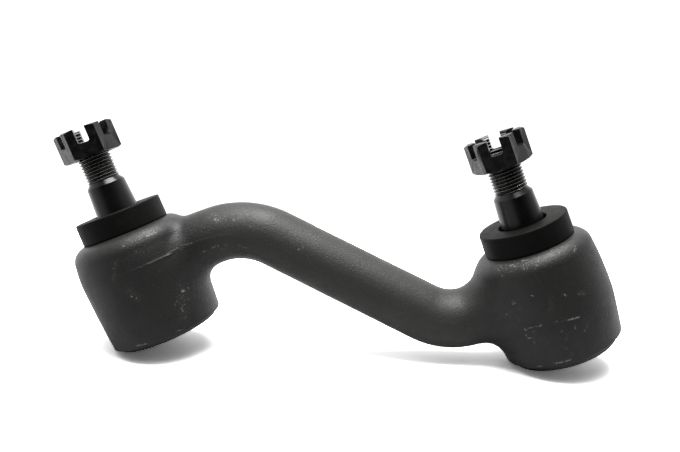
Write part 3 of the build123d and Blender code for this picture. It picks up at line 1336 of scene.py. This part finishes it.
@dataclass(frozen=True)
class Studio:
    """Camera, floor, backdrop and lamps."""

    eye: Point = (0.1376, -0.3073, 0.0119)
    right: Point = (0.93122, 0.08534, -0.35433)
    up: Point = (0.33134, 0.20676, 0.92058)
    back: Point = (0.15183, -0.97466, 0.16426)
    lens: float = 38.909
    sensor: float = 36.0
    clip: float = 0.01
    floor_tilt: float = 21.53
    floor_point: Point = (-0.0218, 0.0, -0.0583)
    floor_size: Pair = (0.62, 0.5)
    floor_shift: Point = (0.11, 0.02, 0.0)
    floor_white: float = 2.2
    floor_front: float = 0.22
    floor_rear: float = 0.8
    floor_edges: Pair = (-0.1, 0.1)
    aim: Point = (0.08, 0.0, -0.05)
    lamps: tuple[Lamp, ...] = (
        Lamp("top_box", (0.47, -0.06, 0.94), 0.80, 0.60, 18.0),
        Lamp("front_box", (0.55, -0.42, 0.75), 0.90, 0.30, 2.2),
    )
    room_dark: float = 0.022
    room_side: float = 0.5
    room_back: float = 1.4
    room_left: float = 0.35
    side_edges: Pair = (-0.1, 0.95)
    back_edges: Pair = (-0.9, 0.0)
    left_edges: Pair = (0.2, 0.9)

    def camera(self) -> None:
        """Puts the camera where the photograph was taken from."""
        data = bpy.data.cameras.new("photo_camera")
        data.sensor_width = self.sensor
        data.lens = self.lens
        data.clip_start = self.clip
        thing = bpy.data.objects.new("photo_camera", data)
        axes = Matrix((self.right, self.up, self.back)).transposed().to_4x4()
        thing.matrix_world = Matrix.Translation(self.eye) @ axes
        bpy.context.scene.collection.objects.link(thing)
        bpy.context.scene.camera = thing

    def light(self) -> None:
        """Hangs the soft boxes."""
        for lamp in self.lamps:
            data = bpy.data.lights.new(lamp.name, "AREA")
            data.shape = "RECTANGLE"
            data.size = lamp.width
            data.size_y = lamp.height
            data.energy = lamp.watts
            thing = bpy.data.objects.new(lamp.name, data)
            thing.location = lamp.place
            way = Vector(self.aim) - Vector(lamp.place)
            thing.rotation_mode = "QUATERNION"
            thing.rotation_quaternion = way.to_track_quat("-Z", "Y")
            bpy.context.scene.collection.objects.link(thing)

    def surround(self) -> None:
        """Makes the room: a white backdrop and sides, dark where the camera stands."""
        world = bpy.data.worlds.new("white_room")
        bpy.context.scene.world = world
        world.use_nodes = True
        sheet = NodeSheet(world.node_tree)
        way = sheet.add("ShaderNodeTexCoord", {}, {}).outputs["Generated"]
        facing = sheet.dot(way, self.back)
        side = (1 - facing.step(*self.side_edges)) * (self.room_side - self.room_dark)
        back = (1 - facing.step(*self.back_edges)) * (self.room_back - self.room_side)
        left = (0 - sheet.dot(way, self.right)).step(*self.left_edges) * self.room_left
        strength = sheet.seen().at_least(self.room_dark + side + back + left)
        shade = sheet.add("ShaderNodeBackground", {}, {"Color": (1, 1, 1, 1), "Strength": strength})
        sheet.add("ShaderNodeOutputWorld", {}, {"Surface": shade.outputs[0]})

    def floor(self) -> Thing:
        """Lays the white floor that both bosses stand on, seen only from above. It is white only to the
        camera; to other rays it is grey and darker at the front, which is painted shade.

        Returns:
            The floor, which is part of the studio and not of the arm.
        """
        stock = Stock()
        bmesh.ops.create_grid(stock.mesh, x_segments=8, y_segments=8, size=0.5)
        size = Matrix.Diagonal((*self.floor_size, 1, 1))
        tilt = Matrix.Rotation(math.radians(self.floor_tilt), 4, "Y")
        shift = Matrix.Translation(self.floor_shift)
        stock.move(Matrix.Scale(1 / MM, 4) @ Matrix.Translation(self.floor_point) @ tilt @ shift @ size)
        material = bpy.data.materials.new("white_floor")
        material.use_nodes = True
        sheet = NodeSheet(material.node_tree)
        # Painted shade: to rays other than the camera's, the floor is a darker grey at the front than at the
        # rear.
        rear = sheet.dot(sheet.place(), (0.0, 1.0, 0.0)).step(*self.floor_edges)
        front_grey, rear_grey, white = (
            (level,) * 3 + (1,) for level in (self.floor_front, self.floor_rear, self.floor_white)
        )
        grey = sheet.blend(rear, front_grey, rear_grey)
        card = sheet.add("ShaderNodeBsdfDiffuse", {}, {"Color": sheet.blend(sheet.seen(), grey, white)})
        clear = sheet.add("ShaderNodeBsdfTransparent", {}, {})
        behind = sheet.add("ShaderNodeNewGeometry", {}, {}).outputs["Backfacing"]
        shader = sheet.add("ShaderNodeMixShader", {}, {0: behind, 1: card.outputs[0], 2: clear.outputs[0]})
        sheet.add("ShaderNodeOutputMaterial", {}, {"Surface": shader.outputs[0]})
        thing = stock.finish("floor", material)
        return thing

    def build(self) -> None:
        """Sets up the studio."""
        bpy.context.scene.view_settings.view_transform = "Standard"
        self.camera()
        self.light()
        self.surround()
        self.floor()


# Each row is a mark's start and stop, its width, and how strongly it shows: worn places, and painted
# highlights by the rims.
WEAR_AND_PAINTED_GLINTS = (
    (13.6, -20.1, -12.8, 19.5, -14.2, -12.6, 3.0, 1.0),
    (16.4, -18.6, -13.6, 18.2, -16.6, -13.4, 2.0, 1.5),
    (8.5, -22.8, -12.9, 12.3, -21.6, -13.7, 2.6, 0.5),
    (6.8, -23.8, -13.4, 7.1, -23.8, -13.7, 0.9, 1.7),
    (10.6, -23.4, -17.1, 10.9, -23.3, -17.4, 0.6, 1.2),
    (2.8, -26.1, -31.6, 4.1, -25.8, -35.9, 3.4, 0.75),
    (2.3, -26.1, -33.8, 2.6, -26.0, -34.1, 0.9, 1.6),
    (4.0, -25.8, -34.8, 4.2, -25.8, -35.0, 0.6, 1.3),
    (19.5, -16.9, -40.7, 20.0, -16.4, -40.8, 1.1, 1.9),
    (21.5, -14.5, -40.7, 21.8, -14.0, -40.6, 0.8, 1.4),
    (20.2, -15.7, -44.6, 20.2, -15.6, -45.3, 1.0, 1.1),
    (17.0, -18.9, -47.0, 17.1, -18.7, -49.0, 0.8, 1.5),
    (19.9, -16.5, -40.2, 16.3, -19.2, -50.9, 4.0, 0.6),
    (16.8, -19.5, -42.8, 15.3, -20.5, -45.8, 0.9, 0.8),
    (1.6, -25.9, -18.8, -1.5, -26.4, -24.9, 1.8, 0.75),
    (-1.1, -26.3, -29.5, -1.0, -26.3, -29.9, 0.9, 1.0),
    (11.6, -23.5, -33.1, 11.7, -23.4, -33.4, 0.8, 1.1),
    (32.9, -11.7, -28.6, 35.1, -11.5, -29.0, 0.9, 1.4),
    (37.5, -11.7, -28.2, 40.1, -11.7, -28.3, 1.5, 1.1),
    (43.4, -11.7, -29.0, 43.5, -11.7, -29.3, 1.0, 1.4),
    (40.2, -11.0, -30.4, 41.8, -11.1, -30.5, 1.2, 0.9),
    (50.1, -11.3, -32.8, 50.9, -11.3, -33.3, 0.8, 1.6),
    (48.9, -11.6, -31.3, 49.2, -11.4, -31.9, 0.8, 1.0),
    (40.8, -7.8, -15.9, 45.0, -9.8, -18.8, 4.0, 0.85),
    (42.4, -9.5, -17.9, 43.7, -9.9, -18.7, 1.6, 1.5),
    (50.0, -10.3, -20.9, 52.1, -9.8, -20.8, 2.0, 0.8),
    (56.0, -11.2, -25.4, 56.4, -11.2, -25.5, 0.9, 1.2),
    (55.8, -8.2, -20.4, 56.1, -8.1, -20.5, 0.9, 1.0),
    (71.4, -11.9, -41.4, 73.9, -11.1, -41.1, 1.4, 0.9),
    (156.4, -19.6, -74.2, 158.1, -20.5, -74.4, 1.2, 1.6),
    (150.7, -18.4, -75.0, 153.2, -20.2, -75.2, 1.6, 1.4),
    (155.1, -22.4, -76.7, 155.5, -22.5, -76.7, 1.1, 1.8),
    (160.3, -23.6, -76.8, 161.4, -23.9, -77.2, 0.7, 1.7),
    (146.7, -18.4, -78.0, 147.1, -18.8, -78.2, 1.3, 1.2),
    (145.9, -15.5, -75.6, 156.6, -22.3, -76.0, 4.2, 0.8),
    (159.8, -22.6, -75.7, 172.4, -18.9, -74.6, 5.0, 0.75),
    (177.3, -17.6, -75.9, 176.4, -19.6, -77.5, 1.3, 1.1),
    (149.6, -19.9, -76.9, 151.1, -20.8, -76.9, 1.2, 0.9),
    (147.1, -20.9, -89.3, 147.8, -21.3, -89.1, 1.7, 1.2),
    (148.3, -21.9, -92.2, 148.8, -22.2, -92.2, 1.5, 1.0),
    (143.2, -18.6, -94.0, 143.6, -18.9, -93.9, 1.3, 1.0),
    (147.2, -21.4, -95.7, 147.2, -21.5, -97.4, 0.8, 1.3),
    (148.4, -22.3, -101.2, 148.6, -22.5, -101.3, 1.0, 1.9),
    (148.0, -22.0, -103.5, 148.1, -21.8, -105.3, 0.8, 1.5),
    (148.3, -22.0, -105.1, 149.8, -22.9, -104.9, 0.7, 1.4),
    (150.8, -23.6, -102.3, 151.3, -23.8, -102.6, 1.2, 1.0),
    (149.9, -22.9, -106.2, 149.8, -22.7, -107.5, 1.0, 1.0),
    (151.1, -23.6, -104.2, 151.4, -23.8, -104.0, 0.8, 1.2),
    (149.4, -22.9, -100.5, 155.0, -25.3, -100.2, 0.55, 1.7),
    (159.8, -26.3, -100.4, 160.5, -26.3, -100.4, 1.0, 1.6),
    (162.3, -26.4, -100.9, 165.1, -26.3, -101.2, 0.5, 1.5),
    (165.1, -26.3, -101.2, 169.3, -25.5, -101.7, 0.6, 2.2),
    (166.6, -25.6, -90.7, 166.8, -25.6, -91.0, 1.2, 1.1),
    (172.6, -24.1, -93.0, 174.2, -23.4, -93.7, 1.7, 1.05),
    (154.9, -24.5, -87.4, 155.2, -24.6, -87.7, 0.8, 1.3),
    (171.7, -24.5, -105.4, 171.1, -24.5, -107.3, 1.0, 1.05),
    (169.6, -25.0, -107.8, 169.7, -24.9, -108.1, 1.1, 1.0),
    (166.6, -25.9, -104.8, 166.8, -25.8, -105.1, 1.0, 1.4),
    (161.3, -26.2, -104.7, 161.6, -26.2, -105.0, 1.2, 0.9),
    (162.5, -26.0, -107.1, 161.9, -25.9, -109.3, 1.4, 0.85),
    (160.7, -25.5, -112.2, 160.8, -25.5, -112.7, 1.2, 0.8),
    (162.1, -25.3, -115.4, 162.3, -25.3, -115.9, 1.4, 0.9),
    (161.5, -25.9, -90.2, 159.7, -26.1, -95.3, 2.2, 0.55),
    # Painted highlights: thin lighter lines along the rims' lower edges, standing in for the lamps' glints
    # there.
    (-5.6, -24.2, -54.9, -0.2, -24.9, -55.2, 0.5, 1.9),
    (12.2, -21.7, -55.0, 14.4, -20.2, -55.8, 0.6, 1.5),
    (154.8, -23.8, -117.7, 161.5, -25.0, -118.1, 0.6, 1.7),
    (157.0, -24.4, -117.9, 158.0, -24.6, -117.9, 0.7, 2.4),
    (148.1, -20.4, -118.4, 150.0, -21.6, -118.4, 0.6, 1.6),
    (19.8, -17.3, -24.0, 23.9, -12.9, -23.7, 0.6, 1.2),
    (23.9, -12.9, -23.7, 30.0, -12.2, -23.4, 0.5, 0.8),
)
# Painted highlight: the bright crest colour on the studs' threads stands in for the lamps' highlights; its
# metallic share reflects them as well.
BLACKED = ThreadFinish(
    "blacked_stud",
    ink(8, 9, 10),
    ink(12, 13, 14),
    0.26,
    specular=0.55,
    patch_gloss=0.05,
    grain_height=0.004,
    grain_gloss=0.05,
    bright=ink(235, 232, 222),
    floors=(14.3, -49.8),
    radius=7.08,
    inside=False,
    share=0.6,
    metal=0.6,
)
# Painted light: the nuts' inner thread is coloured bright, standing in for the light that reaches it through
# the slots.
OXIDED = ThreadFinish(
    "oxided_nut",
    ink(7, 8, 9),
    ink(12, 12, 12),
    0.36,
    specular=0.5,
    patch_scale=420.0,
    patch_gloss=0.16,
    grain_height=0.03,
    bright=ink(125, 125, 121),
    floors=(24.0, -40.0),
    radius=7.6,
    share=0.85,
    sills=(31.5, -32.6),
)
RUBBER = Finish("moulded_rubber", ink(7, 7, 6), ink(13, 11, 9), 0.6, specular=0.18, patch_scale=300.0)
GROUND = Finish("ground_steel", ink(150, 152, 155), ink(138, 140, 142), 0.3, 1.0, grain_height=0.004)
SPRUNG = Finish("spring_steel", ink(118, 118, 120), ink(104, 104, 108), 0.38, 1.0, grain_height=0.006)
COVERED = Finish("cover_coat", ink(50, 50, 49), ink(44, 44, 43), 0.5)


def forged_finish(forging: Forging) -> CoatFinish:
    """Fits the coat's wear and painted highlights to the forging, by drawing their lines onto its surface.

    Args:
        forging: The forging that wears the coat.

    Returns:
        The coat.
    """
    rows = np.array(WEAR_AND_PAINTED_GLINTS)
    starts, stops, sizes = rows[:, :3], rows[:, 3:6], rows[:, 6:].tolist()
    ends = zip(forging.settled(starts).tolist(), forging.settled(stops).tolist(), sizes)
    slopes = forging.slope(forging.settled((starts + stops) / 2))
    slopes /= np.linalg.norm(slopes, axis=1)[:, None]
    return CoatFinish(
        "forged_coat",
        ink(37, 37, 36),
        ink(31, 31, 30),
        0.45,
        patch_scale=90.0,
        grain_height=0.25,
        grain_gloss=0.25,
        wear_and_painted_glints=tuple(WearOrPaintedGlint(tuple(start), tuple(stop), *size) for start, stop, size in ends),
        outwards=tuple(tuple(row) for row in slopes.tolist()),
        bright=ink(150, 148, 142),
    )


def dress(nodes: dict[str, Thing], names: Iterable[str], material: Material) -> None:
    """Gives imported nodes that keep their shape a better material.

    Args:
        nodes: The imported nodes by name.
        names: Which of them to dress.
        material: What they get.
    """
    for name in names:
        data = nodes[name].data
        data.materials.clear()
        data.materials.append(material)
        LOG.info("dressed %s in %s", name, material.name)


def main() -> None:
    """Loads the frame and builds the arm, its joints and the studio."""
    logging.basicConfig(level=logging.INFO, format="%(name)s: %(message)s")
    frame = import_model()
    nodes = frame["nodes"]

    forging = Forging()
    arm = forging.build(forged_finish(forging).material())
    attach(arm, "arm")
    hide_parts("arm_forging")
    LOG.info("built %s with %d faces", arm.name, len(arm.data.polygons))

    blacked, oxided, rubber = BLACKED.material(), OXIDED.material(), RUBBER.material()
    for end in ENDS:
        stud = BallStud().build(end, blacked)
        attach(stud, f"{end.name}_stud_body")
        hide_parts(f"{end.name}_stud")
        nut = CastleNut().build(end, oxided)
        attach(nut, f"{end.name}_nut_body")
        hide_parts(f"{end.name}_nut")
        seal = DustSeal().build(end, rubber)
        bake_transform(seal)
        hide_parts(f"{end.name}_seal")
        for piece in (stud, nut, seal):
            LOG.info("built %s with %d faces", piece.name, len(piece.data.polygons))

    ground, sprung, covered = GROUND.material(), SPRUNG.material(), COVERED.material()
    for end in ENDS:
        dress(nodes, [f"{end.name}_{kind}" for kind in ("race", "swivel", "cup")], ground)
        dress(nodes, [f"{end.name}_spring"], sprung)
        dress(nodes, [f"{end.name}_cover"], covered)

    Studio().build()


if __name__ == "__main__":
    main()
